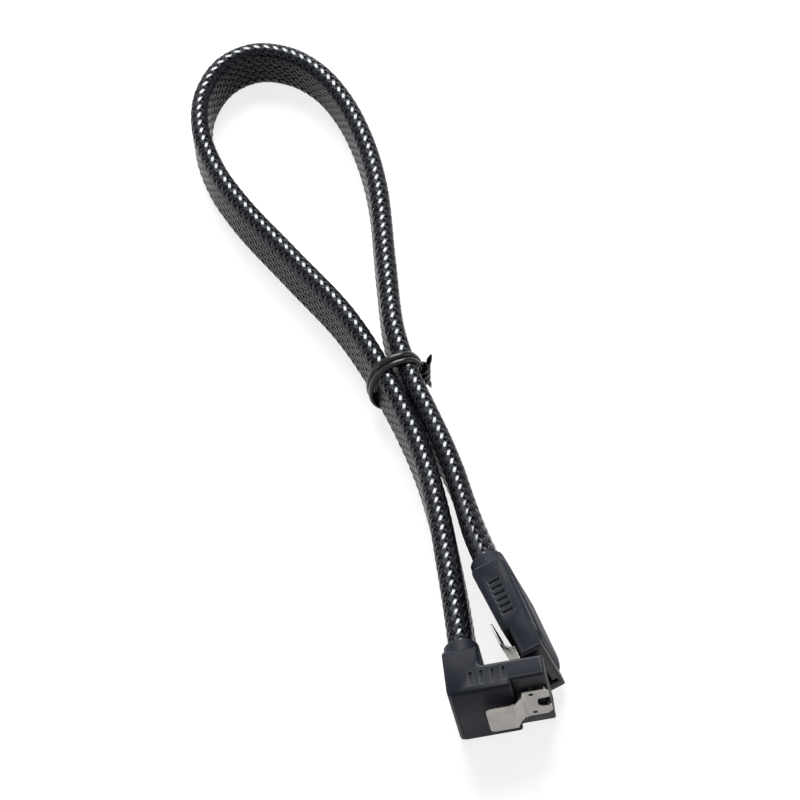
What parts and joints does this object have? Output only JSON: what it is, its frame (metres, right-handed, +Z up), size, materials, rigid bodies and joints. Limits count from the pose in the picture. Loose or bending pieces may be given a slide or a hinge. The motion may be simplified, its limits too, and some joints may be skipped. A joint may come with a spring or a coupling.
{
  "type": "sata data cable",
  "caption": "Flat data cable in a braided sleeve, folded in one loop and held by a twist tie, with a straight and a right-angled keyed connector, both with steel latches.",
  "frame": {"origin": "middle of the angled connector's foot, the narrow face it stands on, under the cable's axis", "axes": "+Z up, the cable standing on its edge; +Y from the angled connector along its cable; +X the way the angled plug goes in"},
  "size_m": [0.0531, 0.1537, 0.0156],
  "materials": {
    "sleeve": "gloss",
    "jacket": "matte",
    "foil": "satin",
    "insulation_white": "satin",
    "insulation_blue": "satin",
    "copper": "bright copper",
    "tinned": "tinned",
    "boot": "matte",
    "plug": "matte",
    "contact": "gold plated",
    "latch": "brushed",
    "tie": "gloss"
  },
  "bodies": {
    "cable": {"braided_sleeve": "sleeve", "cable_jacket": "jacket", "pair_a_shield": "foil", "pair_b_shield": "foil", "wire_a_plus": "insulation_white", "wire_a_minus": "insulation_blue", "wire_b_minus": "insulation_white", "wire_b_plus": "insulation_blue", "conductor_a_plus": "copper", "conductor_a_minus": "copper", "conductor_b_minus": "copper", "conductor_b_plus": "copper", "drain_wire_a": "tinned", "drain_wire_b": "tinned", "straight_plug_body": "plug", "straight_contact_1": "contact", "straight_contact_2": "contact", "straight_contact_3": "contact", "straight_contact_4": "contact", "straight_contact_5": "contact", "straight_contact_6": "contact", "straight_contact_7": "contact", "straight_boot": "boot", "angled_plug_body": "plug", "angled_contact_1": "contact", "angled_contact_2": "contact", "angled_contact_3": "contact", "angled_contact_4": "contact", "angled_contact_5": "contact", "angled_contact_6": "contact", "angled_contact_7": "contact", "angled_boot": "boot", "twist_tie": "tie", "tie_wire": "tinned"},
    "straight_latch": {"straight_latch": "latch"},
    "angled_latch": {"angled_latch": "latch"}
  },
  "joints": [
    {"name": "straight_latch_press", "type": "hinge", "parent": "cable", "child": "straight_latch", "pos_m": [0.01091, 0.00181, 0.00774], "axis": [0.1515, 0.0389, -0.9877], "range_deg": [0, 5], "stiffness_Nm_per_rad": 0.05},
    {"name": "angled_latch_press", "type": "hinge", "parent": "cable", "child": "angled_latch", "pos_m": [0.0125, -0.00295, 0.0074], "axis": [0, 0, -1], "range_deg": [0, 5], "stiffness_Nm_per_rad": 0.05}
  ]
}
